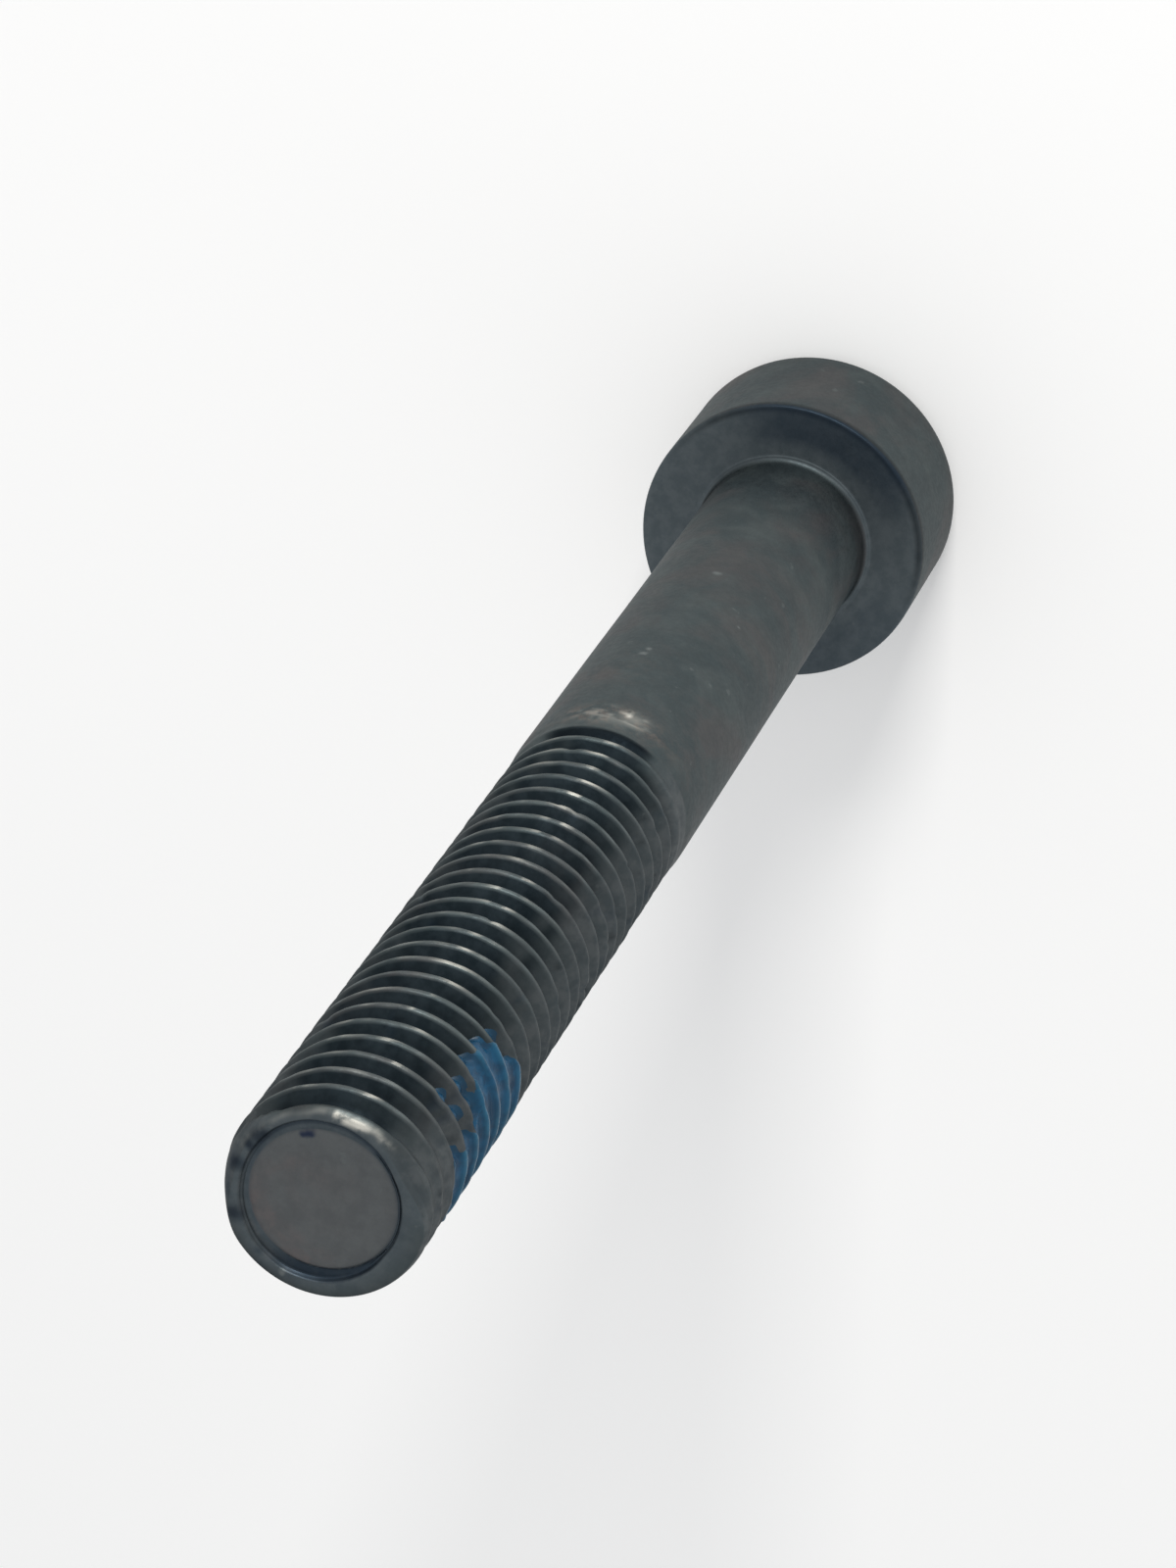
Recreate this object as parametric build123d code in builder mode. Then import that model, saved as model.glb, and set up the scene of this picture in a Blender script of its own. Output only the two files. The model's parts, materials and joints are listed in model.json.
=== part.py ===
from build123d import *

import os
from math import atan, cos, degrees, radians, sin, tan

# Socket head cap screw, M6 x 50, partly threaded, with a nylon locking patch
# moulded on its thread.  Lengths are in millimetres.
#
# The screw stands on its head with its thread up.  Its axis is +Z, and the origin
# is the centre of the bearing face under the head: the shank rises above the
# origin and the head is below it.

# Head
head_d = 10.0
head_h = 6.0
head_top_round = 0.8
head_rim_chamfer = 0.12

# Hex socket: flats, flat-sided depth, corner radius, countersunk mouth and dished floor
socket_flats = 5.0
socket_depth = 3.1
socket_corner_r = 0.15
socket_mouth_d = 6.1
socket_mouth_angle = 120.0
socket_floor_dish = 0.5

# Shank: plain next to the head, with a small taper in the corner under the head
length = 50.0
shank_d = 5.92
corner_taper = 0.25

# Thread: one right-hand V groove that leaves flat crests and runs out of the shank in
# a turn.  On the +X side, a crest stands crest_from_end below the end.
thread_d = 5.84
thread_root_d = 4.80
thread_pitch = 1.0
thread_crest_flat = 0.14
thread_turns = 24
crest_from_end = 1.07
runout_taper = 2.0

# End: a flat face set back inside a lip with a rounded edge
end_face_d = 4.1
end_lip_d = 4.7
end_lip_rise = 0.12
end_round_length = 0.8
end_round_r = 1.0

# Locking patch: it fills the groove on one side of the thread and coats the crests there
patch_thickness = 0.08
patch_length = 6.8
patch_angle = 113.0
patch_corner_r = 2.0
patch_from_end = 2.2

os.makedirs("parts", exist_ok=True)

head_r = head_d / 2
shank_r = shank_d / 2
thread_r = thread_d / 2
thread_root_r = thread_root_d / 2
end_face_r = end_face_d / 2
end_lip_r = end_lip_d / 2
end_face_z = length - end_lip_rise
end_round_z = length - end_round_length

# Heights on the +X side: where the groove is first at full depth, and where the taper ends
full_thread_z = length - crest_from_end - (thread_turns - 0.5) * thread_pitch
taper_top_z = full_thread_z + thread_pitch / 2

# The groove's V is carried on a little past the thread's outer diameter, so that it
# also cuts clear of the shank
groove_overcut = 1.1
groove_depth = groove_overcut * (thread_r - thread_root_r)
groove_half_width = groove_overcut * (thread_pitch - thread_crest_flat) / 2

# One turn of the groove, in its own frame: the V starts on the +X side at height 0
with BuildPart() as groove_turn:
    with BuildLine():
        groove_path = Helix(pitch=thread_pitch, height=thread_pitch, radius=thread_root_r)
    with BuildSketch(Plane.XZ):
        with BuildLine():
            Polyline(
                (thread_root_r, 0),
                (thread_root_r + groove_depth, groove_half_width),
                (thread_root_r + groove_depth, -groove_half_width),
                close=True,
            )
        make_face()
    sweep(path=groove_path, is_frenet=True)

# The run-out: one more turn of the same V, on a cone that starts clear of the shank and
# comes down to the groove's root
runout_r = thread_root_r + groove_depth
runout_angle = degrees(atan(groove_depth / thread_pitch))

with BuildPart() as groove_runout:
    with BuildLine():
        runout_path = Helix(
            pitch=thread_pitch / cos(radians(runout_angle)),
            height=thread_pitch,
            radius=runout_r,
            cone_angle=-runout_angle,
        )
    with BuildSketch(Plane.XZ):
        with BuildLine():
            Polyline(
                (runout_r, 0),
                (runout_r + groove_depth, groove_half_width),
                (runout_r + groove_depth, -groove_half_width),
                close=True,
            )
        make_face()
    sweep(path=runout_path, is_frenet=True)

# The screw, forged and rolled in one piece.  Its blank is longer than the screw, so that
# the last turn of the groove ends above the screw's end.
blank_end_z = length + 3 * thread_pitch

with BuildPart() as screw:
    with BuildSketch(Plane.XZ):
        with BuildLine():
            Polyline(
                (thread_r, blank_end_z),
                (0, blank_end_z),
                (0, -head_h),
                (head_r - head_top_round, -head_h),
            )
            RadiusArc(
                (head_r - head_top_round, -head_h),
                (head_r, head_top_round - head_h),
                -head_top_round,
            )
            Polyline(
                (head_r, head_top_round - head_h),
                (head_r, -head_rim_chamfer),
                (head_r - head_rim_chamfer, 0),
                (shank_r + corner_taper, 0),
                (shank_r, corner_taper),
                (shank_r, taper_top_z - runout_taper),
                (thread_r, taper_top_z),
                (thread_r, blank_end_z),
            )
        make_face()
    revolve(axis=Axis.Z)

    # Hex recess, sunk from the head's top face
    with BuildSketch(Plane.XY.offset(-head_h)):
        recess = RegularPolygon(radius=socket_flats / 2, side_count=6, major_radius=False)
        fillet(recess.vertices(), radius=socket_corner_r)
    extrude(amount=socket_depth, mode=Mode.SUBTRACT)

    # Countersunk mouth and dished floor, turned on the screw's axis
    mouth_r = socket_mouth_d / 2
    mouth_depth = mouth_r / tan(radians(socket_mouth_angle / 2))
    floor_z = socket_depth - head_h
    with BuildSketch(Plane.XZ):
        with BuildLine():
            Polyline((0, -head_h), (mouth_r, -head_h), (0, mouth_depth - head_h), close=True)
        make_face()
        with BuildLine():
            Polyline(
                (0, floor_z),
                (socket_flats / 2, floor_z),
                (0, floor_z + socket_floor_dish),
                close=True,
            )
        make_face()
    revolve(axis=Axis.Z, mode=Mode.SUBTRACT)

    # Thread, cut turn by turn
    turn_heights = [full_thread_z + turn * thread_pitch for turn in range(thread_turns + 1)]
    with Locations([(0, 0, height) for height in turn_heights]):
        add(groove_turn.part, mode=Mode.SUBTRACT)
    with Locations((0, 0, full_thread_z - thread_pitch)):
        add(groove_runout.part, mode=Mode.SUBTRACT)

    # End, turned to length and rounded
    with BuildSketch(Plane.XZ):
        with BuildLine():
            RadiusArc((thread_r, end_round_z), (end_lip_r, length), -end_round_r)
            Polyline(
                (end_lip_r, length),
                (end_face_r, end_face_z),
                (0, end_face_z),
                (0, blank_end_z + thread_pitch),
                (head_r, blank_end_z + thread_pitch),
                (thread_r, end_round_z),
            )
        make_face()
    revolve(axis=Axis.Z, mode=Mode.SUBTRACT)

screw.part.label = "screw"
export_step(screw.part, "parts/screw.step")

# The locking patch: a sector that starts inside the core, with the corners of its outline
# rounded as they are seen square on, less all of the screw's own steel
patch_r = thread_r + patch_thickness
patch_start_r = thread_root_r - 0.1
patch_middle_z = length - patch_from_end - patch_length / 2
patch_side = Plane.XZ.rotated((0, 0, -90 - patch_angle / 2))

with BuildPart() as locking_patch:
    with BuildSketch(patch_side):
        with Locations(((patch_start_r + patch_r) / 2, patch_middle_z)):
            Rectangle(patch_r - patch_start_r, patch_length)
    revolve(axis=Axis.Z, revolution_arc=patch_angle)
    patch_width = 2 * patch_r * sin(radians(patch_angle / 2))
    with BuildSketch(Plane.XZ):
        with Locations((0, patch_middle_z)):
            RectangleRounded(patch_width, patch_length, patch_corner_r)
    extrude(amount=patch_r, mode=Mode.INTERSECT)
    add(screw.part, mode=Mode.SUBTRACT)

locking_patch.part.label = "locking_patch"
export_step(locking_patch.part, "parts/locking_patch.step")
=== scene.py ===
import json
from math import cos, pi, radians, sin, tan

import bmesh
import bpy
import numpy as np
from mathutils import Matrix, Vector


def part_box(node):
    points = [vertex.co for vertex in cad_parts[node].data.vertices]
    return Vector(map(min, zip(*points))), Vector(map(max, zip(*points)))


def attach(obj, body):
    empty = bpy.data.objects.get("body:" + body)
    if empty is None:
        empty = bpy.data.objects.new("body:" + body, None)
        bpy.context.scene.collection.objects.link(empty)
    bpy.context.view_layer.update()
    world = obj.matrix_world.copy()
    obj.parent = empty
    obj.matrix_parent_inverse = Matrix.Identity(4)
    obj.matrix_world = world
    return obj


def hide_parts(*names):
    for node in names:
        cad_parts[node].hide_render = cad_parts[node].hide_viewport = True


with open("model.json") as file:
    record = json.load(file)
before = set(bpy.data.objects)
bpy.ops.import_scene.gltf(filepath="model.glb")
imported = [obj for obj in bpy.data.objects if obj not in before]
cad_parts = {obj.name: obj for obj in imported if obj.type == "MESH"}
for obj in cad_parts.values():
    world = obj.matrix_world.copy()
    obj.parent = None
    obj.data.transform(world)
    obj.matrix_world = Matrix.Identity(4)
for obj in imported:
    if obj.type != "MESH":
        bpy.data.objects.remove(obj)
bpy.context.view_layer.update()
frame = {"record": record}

# A socket head cap screw that stands on its head, with a blue nylon locking patch on its
# thread.  Everything is worked out in millimetres about the screw's own axis, and turned
# into metres when a mesh is made.  A point has a radius r, a turn about the axis from +X,
# in radians, and a height z above the bearing face.  Directions round the screw are given
# in degrees.
MM = 0.001
TAU = 2 * pi


# ---------------------------------------------------------------- sizes
# From the frame
low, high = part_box("screw")
HEAD_R = high[0] / MM
BOTTOM = low[2] / MM
TIP = high[2] / MM
mounts = {m["name"]: m for m in frame["record"]["mounts"]}
SHANK_R = mounts["plain_shank"]["dims"]["r_mm"]
PATCH_MID = 0.5 * (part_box("locking_patch")[0][2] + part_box("locking_patch")[1][2]) / MM
PATCH_HALF = 0.5 * (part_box("locking_patch")[1][2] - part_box("locking_patch")[0][2]) / MM

# Hex socket: half its width across the flats, its corners, countersink, depth and floor
FLATS_R = 2.5
CORNER_R = 2.80
CORNER_EASED_R = 2.76
MOUTH_R = 3.05
MOUTH_HALF_ANGLE = 60
SOCKET_DEPTH = 3.1
FLOOR_R = 2.46
FLOOR_DISH = 0.5

# Head: the round of its top edge
TOP_ROUND = 0.8

# Thread: a V groove between flat crests, which starts at FIRST_GROOVE and has its full
# depth from FULL_THREAD.  On the +X side, crests stand CREST_PHASE above whole pitches.
THREAD_R = 2.92
ROOT_R = 2.40
PITCH = 1.0
CREST_HALF = 0.07
CREST_PHASE = -0.07
FLANK_SLOPE = 1.732
FIRST_GROOVE = 24.2
FULL_THREAD = 24.9

# Rolled end: the length of its rounded edge, the part of the thread that this edge may
# trim, the lip's radius on its fuller side, and how far the face is set back
ROUND_LENGTH = 0.95
END_LENGTH = 1.2
FULL_LIP_R = 2.79
FACE_DROP = 0.106

# Small dents in the crests; every other one is near NICKED_SIDE
NICK_COUNT = 90
NICK_SEED = 11
NICKED_SIDE = -65

# Locking patch: how far round it may reach, its largest radius, and the direction, height
# and size of the separate spots beside it
PATCH_FROM, PATCH_TO, PATCH_STEP = -153, -26.9, 1.5
PATCH_MAX_R = 2.995
PATCH_SPOTS = (
    (-37, 46.37, 0.40), (-51, 46.33, 0.44), (-43, 45.36, 0.46),
    (-55, 45.33, 0.44), (-43, 42.36, 0.42), (-36, 44.38, 0.36),
)

# Mesh: points round the screw, and the rows of one turn of the thread in pitches from its
# crest, where they are closest together
COLUMNS = 144
TURN_ROWS = (
    -0.5, -0.42, -0.35, -0.27, -0.19, -0.13, -0.09, -0.045,
    0.0, 0.045, 0.09, 0.13, 0.19, 0.27, 0.35, 0.42,
)


# ---------------------------------------------------------------- helpers for numbers
def bumps(turn, z, cells, cell_z, seed):
    """Smooth random values from -1 to 1, with so many cells round the screw, cell_z tall."""
    rows, first_row = 300, 60.0
    table = np.random.default_rng(seed).uniform(-1, 1, (rows, cells))
    u = np.mod(turn / TAU, 1.0) * cells
    v = np.broadcast_to(np.asarray(z, float) / cell_z + first_row, np.shape(u))
    iu, iv = np.floor(u).astype(int), np.floor(v).astype(int)
    fu, fv = u - iu, v - iv
    fu, fv = fu * fu * (3 - 2 * fu), fv * fv * (3 - 2 * fv)
    iu, ju, iv, jv = iu % cells, (iu + 1) % cells, iv % rows, (iv + 1) % rows
    here = table[iv, iu] * (1 - fu) + table[iv, ju] * fu
    above = table[jv, iu] * (1 - fu) + table[jv, ju] * fu
    return here * (1 - fv) + above * fv


def ramp(x, start, end):
    """0 before start, 1 past end, and a smooth step between them."""
    t = np.clip((np.asarray(x, float) - start) / (end - start), 0, 1)
    return t * t * (3 - 2 * t)


def bell(x, middle, width, power=2):
    """1 at the middle, falling to 1/e at this width on both sides of it."""
    return np.exp(-((x - middle) / width) ** power)


def soft_max(a, b, blend):
    h = np.clip(0.5 + 0.5 * (a - b) / blend, 0, 1)
    return b + (a - b) * h + blend * h * (1 - h)


def soft_min(a, b, blend):
    return -soft_max(-a, -b, blend)


def facing(turn, degrees):
    """1 on the side of the screw that faces this way round, 0 on the other side."""
    return 0.5 + 0.5 * np.cos(turn - radians(degrees))


def turn_from(turn, direction):
    """The angle from this direction, in radians, from -pi to pi."""
    return np.mod(turn - direction + pi, TAU) - pi


def polar(r, turn, z):
    r, turn, z = np.broadcast_arrays(r, turn, z)
    return np.stack([r * np.cos(turn), r * np.sin(turn), z], axis=-1)


# ---------------------------------------------------------------- the screw's side
def from_crest(turn, z):
    """How far along the axis the nearest crest of the thread is, in pitches."""
    phase = (z - CREST_PHASE) / PITCH - turn / TAU
    return np.abs(phase - np.round(phase))


def end_outlines(turn):
    """Radii of the band round the end face and of the face, and where the band is pressed in."""
    away = 0.01 * bumps(turn, 0 * turn, 9, 1.0, 33)
    band = 2.27 + 0.12 * np.cos(turn - radians(125)) + 0.10 * np.cos(2 * (turn - radians(1))) + away
    face = 2.05 + 0.08 * np.cos(turn - radians(185)) + 0.07 * np.cos(turn - radians(15)) + away
    pit = ramp(np.cos(turn - radians(-155)), 0.35, 0.97)
    return np.maximum(band, face + 0.10), face, pit


def envelope(turn, z):
    """Radius of the shank, of the thread's crests and of the rounded end."""
    worn = 0.010 * bumps(turn, z, 22, 0.9, 3) + 0.009 * bumps(turn, z, 60, 0.35, 4)
    plain = SHANK_R - 0.006 + 0.005 * bumps(turn, z, 9, 3.0, 5)
    crest = THREAD_R - 0.018 + worn
    r = plain + (crest - plain) * ramp(z, FIRST_GROOVE - 0.6, FIRST_GROOVE + 0.6)
    r = r - 0.03 * bell(z, FIRST_GROOVE - 0.25, 0.3)
    back = np.clip(TIP - z, 0, ROUND_LENGTH) / ROUND_LENGTH
    full = ramp(facing(turn, 205), 0.35, 0.70)
    end_r = (end_outlines(turn)[0] + 0.08) * (1 - full) + FULL_LIP_R * full
    rounded = end_r + (THREAD_R + 0.01 - end_r) * np.sqrt(np.clip(1 - (1 - back) ** 2, 0, 1))
    return np.where(z > TIP - END_LENGTH, np.minimum(r, rounded), r)


def smeared(turn, z):
    """1 where the first turns are nearly closed up, on one side next to the end, else 0."""
    return ramp(facing(turn, -95), 0.62, 0.92) * ramp(z, TIP - 3.6, TIP - 1.8)


def last_groove(turn, z):
    """1, and less where the groove next to the shank fades out on its way round."""
    beyond = 1 - ramp(z, FULL_THREAD, FULL_THREAD + 0.35)
    return 1 - beyond * (1 - ramp(facing(turn, 10), 0.88, 0.95))


def side_radius(turn, z):
    """Radius of the screw's side, with the right-hand helical thread cut into it."""
    across = from_crest(turn, z) * PITCH + 0.012 * bumps(turn, z, 40, 0.5, 7)
    flank = (across - CREST_HALF) * FLANK_SLOPE
    depth = soft_min(soft_max(flank, 0 * flank, 0.05), THREAD_R - ROOT_R + 0 * flank, 0.16)
    closed = TIP - 0.28 - 0.30 * (1 - ramp(facing(turn, 5), 0.70, 0.92))
    depth = depth * ramp(z, FIRST_GROOVE, FULL_THREAD) * (1 - ramp(z, closed, closed + 0.2))
    depth = depth * (1 - 0.7 * smeared(turn, z)) * (0.3 + 0.7 * last_groove(turn, z))
    top = envelope(turn, z)
    cut = THREAD_R - depth + (top - THREAD_R) * (z < TIP - END_LENGTH)
    return np.where(z > FIRST_GROOVE, soft_min(top, cut, 0.02), top)


def nicks(turn, z):
    """How deep the small dents in the crests are at a point."""
    rng = np.random.default_rng(NICK_SEED)
    depth = 0 * z
    for count in range(NICK_COUNT):
        at, up = rng.uniform(0, TAU), rng.uniform(25, TIP - 1)
        at = at if count % 2 else radians(NICKED_SIDE) + 0.14 * (at - pi)
        wide, deep = rng.uniform(0.08, 0.22), rng.uniform(0.03, 0.09)
        round_way = turn_from(turn, at) * THREAD_R
        depth = depth + deep * bell(round_way, 0, wide) * bell(z, up, wide * 1.3)
    return depth


def nicked_radius(turn, z):
    """Radius of the screw's side, with the dents in its crests."""
    return side_radius(turn, z) - nicks(turn, z)


# ---------------------------------------------------------------- the screw's mesh
def mesh_object(name, verts, faces, weld=True):
    mesh = bpy.data.meshes.new(name)
    mesh.from_pydata([tuple(v * MM) for v in verts], [], faces)
    if weld:
        bm = bmesh.new()
        bm.from_mesh(mesh)
        bmesh.ops.remove_doubles(bm, verts=bm.verts, dist=1e-7)
        bmesh.ops.dissolve_degenerate(bm, edges=bm.edges, dist=1e-8)
        bmesh.ops.recalc_face_normals(bm, faces=bm.faces)
        bm.to_mesh(mesh)
        bm.free()
    mesh.shade_smooth()
    obj = bpy.data.objects.new(name, mesh)
    bpy.context.scene.collection.objects.link(obj)
    return obj


angles = np.arange(COLUMNS) * TAU / COLUMNS
verts, faces = [], []


def socket_rings():
    """Dished floor, six flats with small corner rounds, and the countersunk mouth."""
    side_angle = np.mod(angles, pi / 3) - pi / 6
    hex_r = np.minimum(FLATS_R / np.cos(side_angle), CORNER_R)
    eased = CORNER_EASED_R + (hex_r - CORNER_EASED_R) * 0.6
    hex_r = np.where(hex_r > CORNER_EASED_R, eased, hex_r)
    cone_z = BOTTOM + (MOUTH_R - hex_r) / tan(radians(MOUTH_HALF_ANGLE))
    floor_z = BOTTOM + SOCKET_DEPTH
    rings = [(0 * angles, floor_z + FLOOR_DISH)]
    rings += [(r, floor_z + FLOOR_DISH * (1 - r / FLOOR_R)) for r in (0.5, 1.1, 1.8, 2.35)]
    rings += [(FLOOR_R, floor_z), (hex_r * 0.99, floor_z - 0.01), (hex_r, floor_z - 0.05)]
    rings += [(hex_r, floor_z + t * (cone_z - floor_z)) for t in (0.15, 0.35, 0.6, 0.85, 0.97)]
    rings += [(hex_r + 0.012, cone_z), (hex_r + 0.05, cone_z - 0.028)]
    rings += [(0.5 * (hex_r + MOUTH_R), 0.5 * (cone_z + BOTTOM)), (MOUTH_R - 0.03, BOTTOM + 0.02)]
    return rings


def head_rings():
    """Top face, rounded edge, smooth side, uneven lip and the bearing face inside it."""
    rings = [(MOUTH_R + 0.03, BOTTOM), (3.3, BOTTOM), (3.8, BOTTOM), (4.12, BOTTOM)]
    for t in np.linspace(0, pi / 2, 11):
        edge = TOP_ROUND * (1 - 0.04 * sin(2 * t))
        rings.append((HEAD_R - TOP_ROUND + edge * sin(t), BOTTOM + TOP_ROUND - edge * cos(t)))
    for z in np.linspace(BOTTOM + 1.1, -0.45, 10):
        rings.append((HEAD_R - 0.004 + 0.004 * bumps(angles, z + 0 * angles, 12, 2.0, 21), z))
    flat = 0 * angles
    ragged = 0.5 + 0.5 * bumps(angles, flat, 26, 1.0, 22) + 0.3 * bumps(angles, flat, 60, 1.0, 23)
    lip = 0.055 + 0.035 * ragged
    rings += [(HEAD_R - 0.004, -lip - 0.12), (HEAD_R - 0.008, -lip - 0.02)]
    rings += [(HEAD_R - 0.025, -lip * 0.5), (HEAD_R - 0.055 - 0.02 * ragged, -lip * 0.15)]
    rings += [(HEAD_R - 0.12 - 0.02 * ragged, -0.006), (HEAD_R - 0.3, -0.004)]
    rings += [(4.3, -0.012), (3.9, -0.02), (3.5, -0.016), (3.24, -0.006)]
    return rings


def shank_rings():
    """Raised ring and fillet in the corner under the head, and the plain shank."""
    rings = [(3.19, -0.004), (3.165, 0.004), (3.14, 0.022)]
    for t in np.linspace(0.15, pi / 2, 6):
        rings.append((3.16 - 0.205 * sin(t), 0.225 * (1 - cos(t)) + 0.02))
    heights = [0.34, 0.5, 0.75, *np.arange(1.1, 22, 0.5)]
    heights += [*np.arange(22, FIRST_GROOVE - 0.55, 0.09), FIRST_GROOVE - 0.5]
    return rings + [(envelope(angles, z + 0 * angles), z) for z in heights]


def end_rings():
    """Rounded edge of the end, off-centre crease and band, and the flat face inside them."""
    heights = [TIP - 0.12, TIP - 0.08, TIP - 0.05, TIP - 0.028, TIP - 0.014]
    rings = [(nicked_radius(angles, z + 0 * angles), z) for z in heights]
    band_r, face_r, pit = end_outlines(angles)
    wave = 0.012 * bumps(angles, 0 * angles, 30, 1.0, 31)
    rings += [(band_r + 0.07, TIP - 0.003 - 0.01 * pit), (band_r + 0.035 + wave, TIP - 0.02)]
    rings += [(band_r + 0.005 + wave, TIP - 0.07), (band_r - 0.02 + wave, TIP - 0.12 - 0.03 * pit)]
    rings += [(band_r - 0.05 + wave, TIP - 0.13 - 0.05 * pit), (band_r - 0.09, TIP - 0.105 - 0.07 * pit)]
    rings += [(0.5 * (band_r + face_r), TIP - 0.10 - 0.08 * pit)]
    rings += [(face_r + 0.06, TIP - 0.105 - 0.07 * pit), (face_r + 0.02, TIP - 0.125 - 0.04 * pit)]
    rings += [(face_r - 0.02, TIP - 0.128), (face_r - 0.07, TIP - 0.115), (face_r - 0.13, TIP - 0.108)]
    for share in (0.9, 0.85, 0.65, 0.45, 0.22):
        uneven = 0.004 * bumps(angles, share + 0 * angles, 6, 0.3, 32)
        rings.append((face_r * share, TIP - FACE_DROP + uneven))
    return rings + [(0 * angles, TIP - FACE_DROP)]


def add_rings(rings):
    """Adds a band of closed rings, each a radius and a height that may vary round it."""
    start = len(verts)
    for r, z in rings:
        verts.extend(polar(r, angles, z))
    for i in range(len(rings) - 1):
        for j in range(COLUMNS):
            k = (j + 1) % COLUMNS
            a, b = start + i * COLUMNS, start + (i + 1) * COLUMNS
            faces.append((a + j, a + k, b + k, b + j))


def add_thread(bottom, top):
    """Adds rows that follow the helix, held between two level rings."""
    turns = np.arange(int(bottom) - 2, int(top) + 3)
    rows = np.array([n * PITCH + CREST_PHASE + PITCH * u for n in turns for u in TURN_ROWS])
    per_turn = len(TURN_ROWS)
    start = len(verts)
    heights = np.clip(rows[:, None] + PITCH * angles[None, :] / TAU, bottom, top)
    turn = np.broadcast_to(angles, heights.shape)
    verts.extend(polar(nicked_radius(turn, heights), turn, heights).reshape(-1, 3))
    for i in range(len(rows) - 1):
        for j in range(COLUMNS):
            if j < COLUMNS - 1:
                corners = (i, j), (i, j + 1), (i + 1, j + 1), (i + 1, j)
            elif i + 1 + per_turn < len(rows):
                corners = (i, j), (i + per_turn, 0), (i + 1 + per_turn, 0), (i + 1, j)
            else:
                continue
            ends = [heights[p] for p in corners]
            if max(ends) - min(ends) > 1e-6:
                faces.append(tuple(start + row * COLUMNS + column for row, column in corners))


add_rings(socket_rings() + head_rings() + shank_rings())
add_thread(FIRST_GROOVE - 0.5, TIP - 0.12)
add_rings(end_rings())
body = mesh_object("screw_body", verts, faces)


# ---------------------------------------------------------------- locking patch
def patch_strength(turn, z):
    """Above 0 inside the patch's ragged outline, rising to 1 in its middle."""
    degrees = turn * 180 / pi
    near = -61 + 30 * bell(z, 43.6, 1.3, 4)
    edge = np.minimum((near - degrees) / 13, (degrees + 147) / 13)
    edge = np.minimum(edge, (PATCH_HALF - np.abs(z - PATCH_MID)) / 0.7)
    edge = edge + 0.35 * bumps(turn, z, 30, 0.7, 41) + 0.25 * bumps(turn, z, 70, 0.35, 42)
    for at, height, size in PATCH_SPOTS:
        reach = ((degrees - at) / 20 / size) ** 2 + ((z - height) / size) ** 2
        edge = np.maximum(edge, 0.50 - 0.5 * reach + 0.1 * bumps(turn, z, 70, 0.35, 42))
    return np.clip(edge, -1, 1)


def patch_radius(turn, z, steel, strength):
    """Nylon fills the grooves nearly flush and lies as a thin coat over the crests."""
    filled = ROOT_R - 0.04 + 0.40 * ramp(strength, -0.1, 0.75) + 0.02 * bumps(turn, z, 70, 0.3, 43)
    low_down = ramp(from_crest(turn, z), 0.10, 0.20)
    cover = low_down * ramp(strength, -0.05, 0.25) + (1 - low_down) * ramp(strength, 0.25, 0.6)
    coat = steel - 0.035 + 0.075 * cover + 0.012 * bumps(turn, z, 50, 0.3, 44)
    return np.minimum(soft_max(filled, coat, 0.06), PATCH_MAX_R)


def make_patch():
    """The patch's object, and its strength at each of the object's points."""
    columns = np.radians(np.arange(PATCH_FROM, PATCH_TO, PATCH_STEP))
    rows = np.array([n * PITCH + CREST_PHASE + PITCH * u for n in range(39, 51) for u in TURN_ROWS])
    z = rows[:, None] + PITCH * columns[None, :] / TAU
    turn = np.broadcast_to(columns, z.shape)
    steel = nicked_radius(turn, z)
    strength = patch_strength(turn, z)
    outer = patch_radius(turn, z, steel, strength)
    in_length = np.abs(z - PATCH_MID) < PATCH_HALF
    shown = (outer > steel - 0.02) & (strength > -0.1) & in_length
    wide = len(columns)
    grid_faces = []
    for i in range(len(rows) - 1):
        for j in range(wide - 1):
            if shown[i:i + 2, j:j + 2].any() and in_length[i:i + 2, j:j + 2].all():
                a = i * wide + j
                grid_faces.append((a, a + 1, a + 1 + wide, a + wide))
    used = sorted({v for f in grid_faces for v in f})
    index = {v: n for n, v in enumerate(used)}
    patch_faces = [tuple(index[v] for v in f) for f in grid_faces]
    patch_verts = polar(outer, turn, z).reshape(-1, 3)[used]
    return mesh_object("nylon_patch", patch_verts, patch_faces, weld=False), strength.reshape(-1)[used]


patch, patch_strengths = make_patch()


# ---------------------------------------------------------------- surface masks
# Each mask is kept on the mesh as a value from 0 to 1 at every point, for the materials.
def store(obj, name, values):
    layer = obj.data.attributes.new(name, "FLOAT", "POINT")
    layer.data.foreach_set("value", np.clip(values, 0, 1).astype(np.float32))


def cylinder_coords(obj):
    co = np.empty(len(obj.data.vertices) * 3, np.float32)
    obj.data.vertices.foreach_get("co", co)
    co = co.reshape(-1, 3).astype(float) / MM
    return np.hypot(co[:, 0], co[:, 1]), np.arctan2(co[:, 1], co[:, 0]), co[:, 2]


def spot(degrees, wide, height, tall):
    """A soft spot on the screw's side, so many degrees wide and millimetres tall."""
    return bell(turn_from(turn, radians(degrees)), 0, radians(wide)) * bell(z, height, tall)


r, turn, z = cylinder_coords(body)
across = from_crest(turn, z)
side = (r > THREAD_R - 0.7) & (z > FIRST_GROOVE - 0.2) & (z < TIP - 0.02)
cut_deep = ramp(z, FULL_THREAD, FULL_THREAD + 0.5)
at_end = z > TIP - 0.3
shut = 1 - smeared(turn, z)
band_r, face_r, pit = end_outlines(turn)

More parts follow.
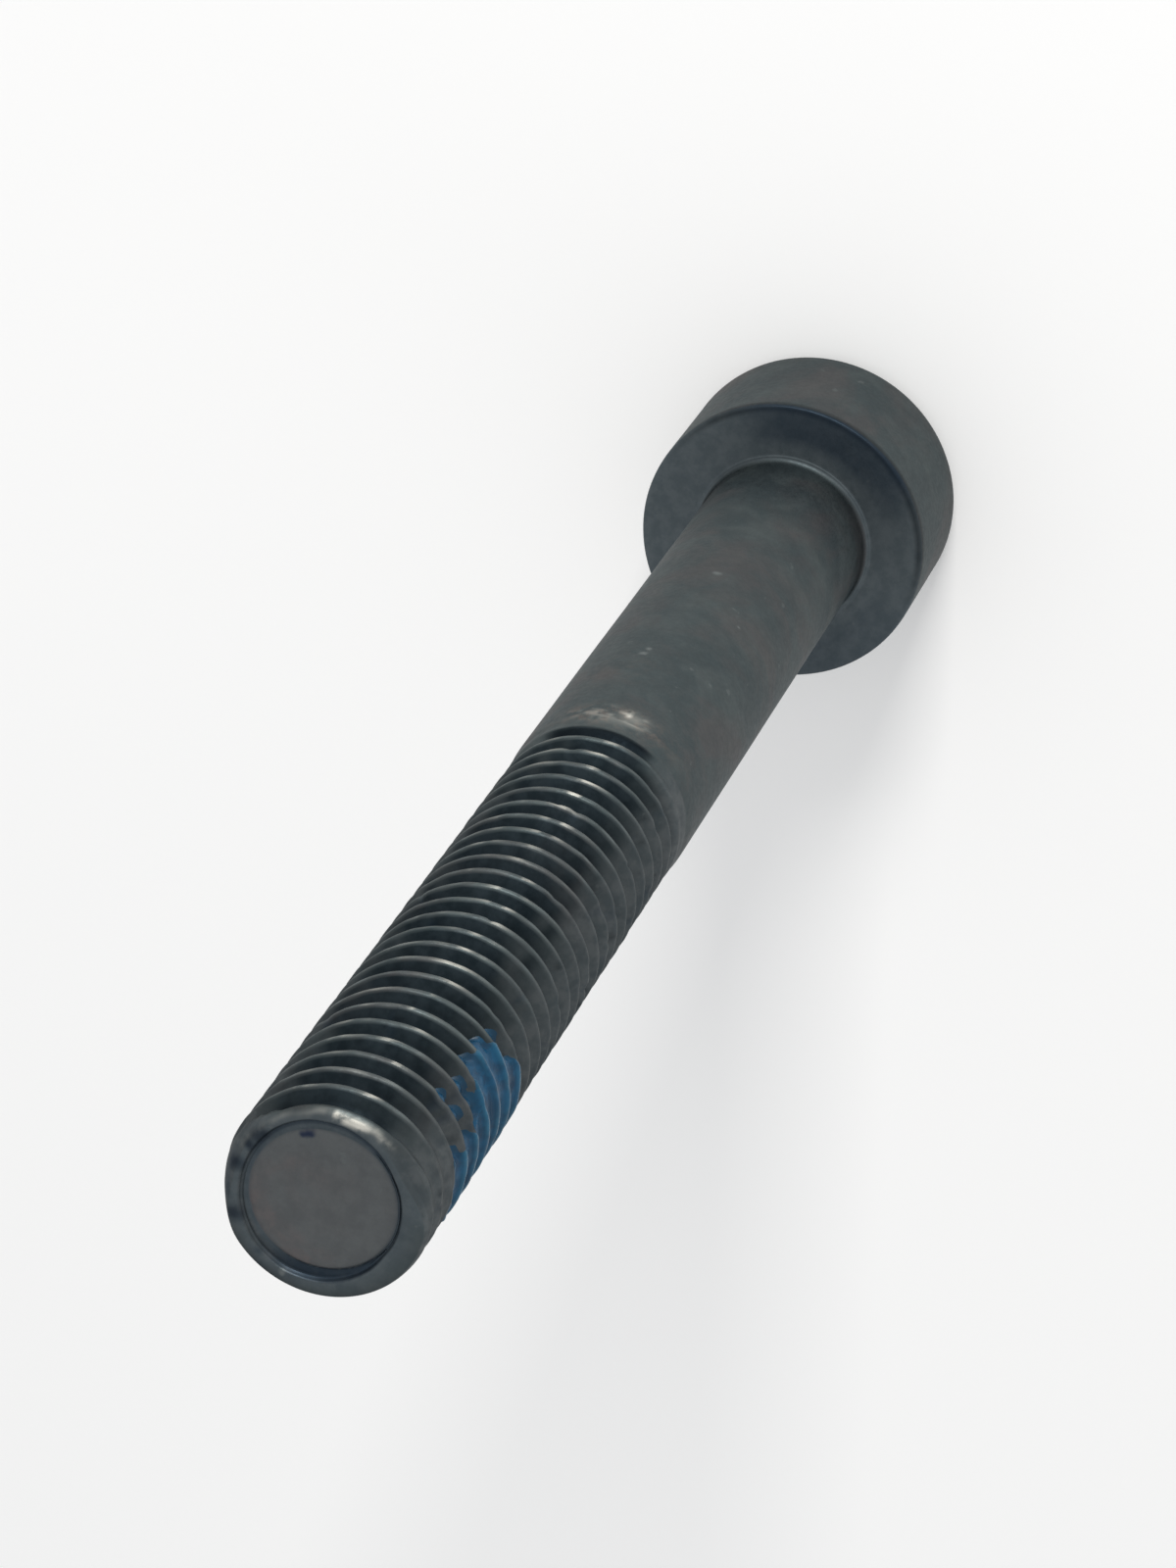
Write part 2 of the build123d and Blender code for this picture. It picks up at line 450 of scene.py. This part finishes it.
# Painted shade darkens the grooves on one side of the thread; on the other side they are paler
contrast_side = facing(turn, 8) + 0.05 * bumps(turn, z, 12, 2.5, 55) + 0.05 * bumps(turn, z, 40, 0.9, 58)
contrast_side = ramp(contrast_side, 0.70, 0.96) * (0.3 + 0.7 * shut)
in_groove = ramp(across, 0.06, 0.13) * ramp(z, FIRST_GROOVE - 0.05, FIRST_GROOVE + 0.12)
in_groove = in_groove * last_groove(turn, z) * (1 - ramp(z, TIP - 0.5, TIP - 0.1))
store(body, "groove", np.where(side, in_groove * contrast_side, 0))
store(body, "paler_side", np.where(side, 1 - contrast_side, 0))

# Darkest places: painted shade in the grooves' roots, the head's lip and fillet, and the end's
# rounded edge on both sides of its painted glint; darker crests and dirt on the paler side
deep = np.where(side, in_groove * ramp(across, 0.16, 0.40) * (0.14 + 0.86 * contrast_side), 0)
dull = 0.16 * (across < 0.12) * (1 - contrast_side) * side * cut_deep
dirt = ramp(bumps(turn, z, 55, 0.30, 66) + 0.7 * bumps(turn, z, 26, 0.8, 67), 0.75, 1.35)
dirt = 0.55 * dirt * (1 - contrast_side) * side * cut_deep * (1 - ramp(z, TIP - 0.6, TIP - 0.3))
lip = ramp(r, 4.72, 4.86) * (z > -0.22) * (z < 0.02) * ramp(facing(turn, -15), 0.5, 0.8)
fillet = bell(r, 3.10, 0.08) * (np.abs(z) < 0.25) * ramp(facing(turn, 25), 0.80, 0.93)
shade_beside_glint = ramp(facing(turn, -1), 0.82, 0.93) * (1 - ramp(facing(turn, -2), 0.984, 0.995))
shade_beside_glint = shade_beside_glint * bell(r, 2.62, 0.16, 4) * (z > TIP - 0.4)
store(body, "root", np.maximum.reduce([deep, dull, dirt, 0.7 * lip, 0.35 * shade_beside_glint, 0.45 * fillet]))

# Painted highlights: a paler line along the rubbed crests, and a faint one on the ring under the head
rubbed = ramp(bumps(turn, z, 30, 0.8, 51) + 0.5 * bumps(turn, z, 80, 0.4, 52), -0.2, 1.0)
on_crest = (1 - ramp(across, 0.025, 0.085)) * ramp(z, FIRST_GROOVE + 0.4, FIRST_GROOVE + 0.9)
on_crest = on_crest * (1 - ramp(z, TIP - 0.6, TIP - 0.2))
crest_highlight = on_crest * (0.32 + 0.74 * rubbed) * contrast_side * (0.2 + 0.8 * shut) * (1 - 0.45 * spot(15, 8, 35, 60))
ring_highlight = bell(r, 3.10, 0.06) * (np.abs(z) < 0.2) * ramp(facing(turn, -1), 0.90, 0.99)
store(body, "crest", np.maximum(np.where(side, crest_highlight, 0), 0.15 * ring_highlight))

# Painted glints of bare metal: on the end's rounded edge on one side, on a scuff of real wear where
# the thread runs out, and in streaks along the crests on the +X side
broken = ramp(bumps(turn, z, 40, 0.5, 53) + 0.6 * bumps(turn, z, 90, 0.25, 54), -0.5, 0.7)
rim = bell(r + 0.05 * bumps(turn, 0 * z, 60, 1.0, 59), 2.57, 0.07) * (z > TIP - 0.35)
bright = 2.2 * ramp(facing(turn, -2), 0.9880, 0.9975)
edge = rim * np.maximum(bright, 0.22 * ramp(facing(turn, -21), 0.9875, 0.998)) * (0.75 + 0.6 * broken)
faint_rim_glint = 0.10 * rim * ramp(facing(turn, 38), 0.85, 0.97) * (0.3 + broken)
speckled = ramp(bumps(turn, z, 70, 0.25, 62) + 0.5 * bumps(turn, z, 140, 0.16, 63), -0.3, 0.5)
scuffed = 1.2 * spot(-3, 8, 23.05, 0.34) * (0.2 + 0.8 * speckled)
beside_scuff = 0.26 * spot(12, 22, 23.15, 0.5) * speckled
crest_glint = np.where(side, on_crest, 0) * ramp(bumps(turn, z, 50, 0.7, 60), -0.45, 0.55) * shut
crest_glint = crest_glint * (0.95 * spot(-1, 8, 35, 60) + 0.20 * spot(32, 8, 35, 60) + 0.04 * contrast_side)
# These are painted glints, with the scuff's real wear
worn = np.maximum.reduce([edge, faint_rim_glint, scuffed, beside_scuff, crest_glint])
store(body, "glint_and_wear", worn * (r > 2.2))
store(body, "scuff", (1.6 * spot(9, 35, 23.2, 0.62) + 0.25 * spot(25, 25, 19.5, 1.6)) * (r > 2.2))

# Painted shade by the head, a painted dark reflection on the bearing face, and dents in the crests
corner = (1 - ramp(z + 0.5 * bumps(turn, z, 14, 1.6, 56), 3.4, 4.4)) * (z > -0.02) * (r < 3.05)
seat = (z > -0.12) & (z < 0.12) & (r > 3.05)
dark_reflection = facing(turn, -8) + 0.04 * bumps(turn, r, 14, 0.8, 57) + 0.03 * bumps(turn, r, 30, 0.4, 61)
dark_reflection = np.maximum(ramp(dark_reflection, 0.80, 0.975), 0.4 * ramp(facing(turn, -135), 0.85, 0.98))
dark_reflection = dark_reflection * ramp(r, 3.42, 3.70)
chipped = ramp(nicks(turn, z), 0.015, 0.045) * side * cut_deep

# Painted shade in the end's crease, under its band and in its pit, and darker patches outside the band
crease = 0.22 + 0.22 * ramp(facing(turn, -95), 0.7, 0.95) + 0.12 * ramp(facing(turn, 110), 0.7, 0.95)
crease = crease * bell(r, face_r + 0.05, 0.09)
crease = crease + (0.15 + 0.55 * ramp(facing(turn, 15), 0.6, 0.93)) * bell(r, band_r - 0.04, 0.08)
far_side_patches = bumps(turn, 3 * r, 26, 1.0, 64) + 0.6 * bumps(turn, 3 * r, 60, 0.5, 65)
far_side_patches = ramp(far_side_patches, -0.1, 0.9) * (r > band_r) * ramp(facing(turn, 165), 0.25, 0.6)
pit_shade = pit * (r > face_r + 0.02) * (1 - ramp(r, band_r, band_r + 0.08))
crease = np.maximum(crease + 0.45 * far_side_patches, 0.85 * pit_shade) * (at_end & (r < 2.9))
store(body, "shade_and_marks", np.maximum.reduce([0.12 * corner, 0.66 * dark_reflection * seat, crease, 0.25 * chipped]))

# The face of the end, and the bearing face with the end's rim, painted paler as lit copies of the oxide
near_top = ramp(facing(turn, 5), 0.75, 0.92)
pale_rim = at_end * (1 - ramp(r, 2.70 - 0.16 * near_top, 2.88 - 0.20 * near_top))
store(body, "face", (1 - ramp(r, face_r - 0.03, face_r + 0.02)) * at_end)
store(body, "seat", np.maximum(seat * 1.0, pale_rim))

# Nylon: thin where it lies over the crests, and its ragged outline
store(patch, "thin", ramp(cylinder_coords(patch)[0], 2.80, 2.93))
store(patch, "rim", 1 - ramp(patch_strengths, 0.15, 0.65))


# ---------------------------------------------------------------- materials
class Nodes:
    """Small helper that adds and links shader nodes."""

    def __init__(self, name):
        self.material = bpy.data.materials.new(name)
        self.material.use_nodes = True
        self.tree = self.material.node_tree
        self.tree.nodes.clear()

    def add(self, kind, **settings):
        node = self.tree.nodes.new(kind)
        for key, value in settings.items():
            setattr(node, key, value)
        return node

    def put(self, value, socket):
        if isinstance(value, bpy.types.NodeSocket):
            self.tree.links.new(value, socket)
        else:
            socket.default_value = value

    def place(self):
        return self.add("ShaderNodeTexCoord").outputs["Object"]

    def noise(self, vector, scale, detail, rough, distortion=0.0):
        node = self.add("ShaderNodeTexNoise")
        self.put(vector, node.inputs["Vector"])
        node.inputs["Scale"].default_value = scale
        node.inputs["Detail"].default_value = detail
        node.inputs["Roughness"].default_value = rough
        node.inputs["Distortion"].default_value = distortion
        return node.outputs["Fac"]

    def vector(self, operation, a, b, c=(0, 0, 0)):
        node = self.add("ShaderNodeVectorMath", operation=operation)
        for socket, item in zip(node.inputs[:3], (a, b, c)):
            self.put(item, socket)
        return node

    def shifted(self, vector, scale, reach):
        """The same position moved a little by noise, so that outlines drawn with it are ragged."""
        wander = self.add("ShaderNodeTexNoise")
        self.put(vector, wander.inputs["Vector"])
        wander.inputs["Scale"].default_value = scale
        centred = self.vector("SUBTRACT", wander.outputs["Color"], (0.5, 0.5, 0.5))
        moved = self.vector("MULTIPLY_ADD", centred.outputs["Vector"], (2 * reach,) * 3, vector)
        return moved.outputs["Vector"]

    def span(self, value, a, b, low=0.0, high=1.0):
        """A smooth step from low at a to high at b."""
        node = self.add("ShaderNodeMapRange", interpolation_type="SMOOTHSTEP")
        for socket, item in zip(node.inputs[:5], (value, a, b, low, high)):
            self.put(item, socket)
        return node.outputs[0]

    def mix(self, factor, a, b):
        node = self.add("ShaderNodeMix", data_type="RGBA")
        self.put(factor, node.inputs[0])
        self.put(a, node.inputs[6])
        self.put(b, node.inputs[7])
        return node.outputs[2]

    def math(self, operation, a, b):
        node = self.add("ShaderNodeMath", operation=operation)
        self.put(a, node.inputs[0])
        self.put(b, node.inputs[1])
        return node.outputs[0]

    def times(self, a, b):
        return self.math("MULTIPLY", a, b)

    def mask(self, name):
        return self.add("ShaderNodeAttribute", attribute_name=name).outputs["Fac"]

    def bump(self, height, distance, strength):
        node = self.add("ShaderNodeBump")
        self.put(height, node.inputs["Height"])
        node.inputs["Distance"].default_value = distance
        node.inputs["Strength"].default_value = strength
        return node.outputs["Normal"]

    def surface(self, **inputs):
        shader = self.add("ShaderNodeBsdfPrincipled")
        for key, value in inputs.items():
            self.put(value, shader.inputs[key.replace("_", " ")])
        output = self.add("ShaderNodeOutputMaterial")
        self.tree.links.new(shader.outputs[0], output.inputs["Surface"])
        return self.material


def rgb(r, g, b):
    return (r, g, b, 1.0)


# Small marks on the steel: direction, radius and height of the middle, size and colour
INK = rgb(0.010, 0.022, 0.060)
SOOT = rgb(0.014, 0.022, 0.036)
PALE = rgb(0.19, 0.21, 0.21)
MARKS = (
    (25, 1.93, TIP - 0.12, 0.21, INK),
    (29, 1.92, TIP - 0.12, 0.22, INK),
    (33, 1.92, TIP - 0.12, 0.16, INK),
    (58, 2.36, TIP - 0.05, 0.30, SOOT),
    (64, 2.40, TIP - 0.05, 0.34, SOOT),
    (72, 2.46, TIP - 0.04, 0.26, SOOT),
    (88, 2.55, TIP - 0.03, 0.34, SOOT),
    (122, 2.55, TIP - 0.03, 0.40, SOOT),
    (169, 2.56, TIP - 0.02, 0.13, PALE),
    (17, SHANK_R, 18.2, 0.20, PALE),
    (15, SHANK_R, 17.8, 0.16, PALE),
    (7, SHANK_R, 10.8, 0.22, PALE),
    (-24, SHANK_R, 13.6, 0.12, PALE),
)


def add_marks(n, place, colour):
    ragged = n.shifted(place, 2400, 0.12 * MM)
    for degrees, radius, height, size, tint in MARKS:
        middle = tuple(polar(radius, radians(degrees), height) * MM)
        apart = n.vector("DISTANCE", ragged, middle).outputs["Value"]
        colour = n.mix(n.span(apart, 0.1 * size * MM, size * MM, 0.75, 0.0), colour, tint)
    return colour


def black_oxide():
    """Black oxide over steel, mottled and matt, with painted shade in grooves and painted highlights on
    rubbed crests.
    """
    n = Nodes("black_oxide")
    place = n.place()
    clouds = n.span(n.noise(place, 420, 5, 0.6, 0.5), 0.36, 0.66)
    warm = n.span(n.noise(place, 260, 4, 0.6, 0.6), 0.44, 0.64)
    mottle = n.span(n.noise(place, 1900, 4, 0.6), 0.35, 0.65)
    grain = n.noise(place, 5200, 3, 0.6)
    colour = n.mix(clouds, rgb(0.062, 0.081, 0.086), rgb(0.094, 0.113, 0.115))
    colour = n.mix(n.times(warm, 0.55), colour, rgb(0.108, 0.097, 0.097))
    colour = n.mix(n.times(mottle, 0.35), colour, rgb(0.064, 0.075, 0.078))

    # Painted light: the bearing face, the end's rim and the end's face are paler copies of the oxide
    seat = n.mix(mottle, rgb(0.098, 0.120, 0.132), rgb(0.122, 0.144, 0.156))
    colour = n.mix(n.mask("seat"), colour, seat)
    face = n.mix(warm, rgb(0.142, 0.152, 0.156), rgb(0.162, 0.146, 0.146))
    face = n.mix(n.times(mottle, 0.7), face, rgb(0.120, 0.127, 0.132))
    colour = n.mix(n.mask("face"), colour, face)
    paler_side_colour = n.mix(mottle, rgb(0.076, 0.090, 0.097), rgb(0.120, 0.132, 0.137))
    colour = n.mix(n.times(n.mask("paler_side"), 0.8), colour, paler_side_colour)
    scuff = n.times(n.mask("scuff"), n.span(n.noise(place, 2100, 5, 0.7), 0.44, 0.60))
    colour = n.mix(n.times(scuff, 0.75), colour, rgb(0.150, 0.130, 0.118))
    specks = n.span(n.noise(place, 1700, 3, 0.6), 0.68, 0.74)
    colour = n.mix(n.times(specks, 0.4), colour, rgb(0.17, 0.19, 0.19))

    # Painted shade: dark flanks in the grooves on one side of the thread
    flank = n.mix(mottle, rgb(0.008, 0.015, 0.020), rgb(0.019, 0.029, 0.036))
    colour = n.mix(n.times(n.mask("groove"), 0.94), colour, flank)
    # Painted shade in the roots, fillet, lip and beside the end's glint, and dirt on the paler side
    colour = n.mix(n.times(n.mask("root"), 0.85), colour, rgb(0.004, 0.007, 0.010))
    # Navy painted shade by the head, on the bearing face and in the end's creases, and dark dents
    colour = n.mix(n.times(n.mask("shade_and_marks"), 0.85), colour, rgb(0.012, 0.027, 0.050))
    # Painted highlight along the crests and on the ring under the head
    crest = n.times(n.mask("crest"), n.span(n.noise(place, 1500, 4, 0.6), 0.25, 0.55))
    colour = n.mix(crest, colour, rgb(0.126, 0.152, 0.158))
    # Painted glints of bare metal on the end's edge and the crests, and the scuff's real wear
    glint_and_wear = n.times(n.mask("glint_and_wear"), n.span(n.noise(place, 1600, 4, 0.6), 0.28, 0.50))
    colour = n.mix(glint_and_wear, colour, rgb(0.80, 0.78, 0.70))
    colour = add_marks(n, place, colour)

    rough = n.math("ADD", n.span(grain, 0.3, 0.7, 0.44, 0.54), n.times(clouds, 0.06))
    rub = n.math("MAXIMUM", n.times(crest, 0.7), glint_and_wear)
    return n.surface(
        Base_Color=colour,
        Metallic=0.9,
        Roughness=n.math("SUBTRACT", rough, n.times(rub, 0.26)),
        Normal=n.bump(grain, 0.01 * MM, 0.025),
        Specular_Tint=rgb(0.6, 0.6, 0.6),
    )


def nylon_blue():
    """Blue nylon with streaks, paler where it is thin over the crests, darker at its rim."""
    n = Nodes("nylon_blue")
    place = n.place()
    streaks = n.span(n.noise(place, 1400, 4, 0.6, 0.8), 0.36, 0.66)
    colour = n.mix(streaks, rgb(0.002, 0.035, 0.080), rgb(0.004, 0.070, 0.150))
    thin = n.times(n.mask("thin"), n.span(n.noise(place, 1100, 4, 0.6), 0.3, 0.6))
    colour = n.mix(n.times(thin, 0.6), colour, rgb(0.020, 0.130, 0.215))
    colour = n.mix(n.times(n.mask("rim"), 0.7), colour, rgb(0.004, 0.030, 0.058))
    return n.surface(
        Base_Color=colour,
        Roughness=n.span(n.noise(place, 3500, 3, 0.6), 0.3, 0.7, 0.36, 0.5),
        Normal=n.bump(n.noise(place, 2600, 4, 0.6), 0.02 * MM, 0.5),
        Specular_IOR_Level=0.3,
    )


def pale_floor():
    """A pale grey floor that glows a little where it is seen, straight or in a reflection."""
    n = Nodes("pale_floor")
    path = n.add("ShaderNodeLightPath")
    seen = n.math("MAXIMUM", path.outputs["Is Camera Ray"], path.outputs["Is Glossy Ray"])
    seen = n.math("MAXIMUM", seen, path.outputs["Is Transmission Ray"])
    return n.surface(
        Base_Color=rgb(0.88, 0.88, 0.88),
        Roughness=0.9,
        Emission_Color=rgb(1, 1, 1),
        Emission_Strength=n.times(seen, 0.20),
    )


body.data.materials.append(black_oxide())
patch.data.materials.append(nylon_blue())
for piece, node, slot in ((body, "screw", "black_steel"), (patch, "locking_patch", "blue_nylon")):
    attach(piece, "root")
    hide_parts(node)


# ---------------------------------------------------------------- floor, light, camera
def direction(azimuth, elevation):
    az, el = radians(azimuth), radians(elevation)
    return Vector((cos(el) * cos(az), cos(el) * sin(az), sin(el)))


def lamp(name, azimuth, elevation, distance, size, watts, colour):
    """A square lamp that shines at the middle of the shank."""
    data = bpy.data.lights.new(name, "AREA")
    data.size = size
    data.energy = watts
    data.color = colour
    obj = bpy.data.objects.new(name, data)
    middle = Vector((0, 0, 0.025))
    obj.location = middle + distance * direction(azimuth, elevation)
    obj.rotation_euler = (obj.location - middle).to_track_quat("Z", "Y").to_euler()
    scene.collection.objects.link(obj)


def camera(aim, distance, azimuth, elevation, roll, lens):
    """A camera that looks at a point from this side, turned about its own view by roll."""
    data = bpy.data.cameras.new("camera")
    data.sensor_width = 36
    data.lens = lens
    data.clip_start = 0.001
    back = direction(azimuth, elevation)
    level = Vector((0, 0, 1)).cross(back).normalized()
    upright = back.cross(level)
    turned = radians(roll)
    right = cos(turned) * level - sin(turned) * upright
    up = sin(turned) * level + cos(turned) * upright
    obj = bpy.data.objects.new("camera", data)
    axes = Matrix((right, up, back)).transposed()
    obj.matrix_world = Matrix.Translation(Vector(aim) + distance * back) @ axes.to_4x4()
    scene.collection.objects.link(obj)
    scene.camera = obj


scene = bpy.context.scene
bpy.ops.mesh.primitive_plane_add(size=3.0, location=(0, 0, low[2]))
floor = bpy.context.object
floor.name = "floor"
floor.data.materials.append(pale_floor())

world = bpy.data.worlds.new("studio")
world.use_nodes = True
scene.world = world
background = world.node_tree.nodes["Background"]
background.inputs["Color"].default_value = rgb(0.98, 0.99, 1.0)
background.inputs["Strength"].default_value = 0.60

lamp("key", 6, 26, 0.30, 0.09, 0.55, (1.0, 0.98, 0.94))
lamp("fill", -105, 10, 0.40, 0.22, 0.05, (0.95, 0.98, 1.0))
camera((0.00017, 0.0006, 0.02276), 0.15553, -15.486, 61.84, 144.76, 116.07)
scene.view_settings.view_transform = "Standard"
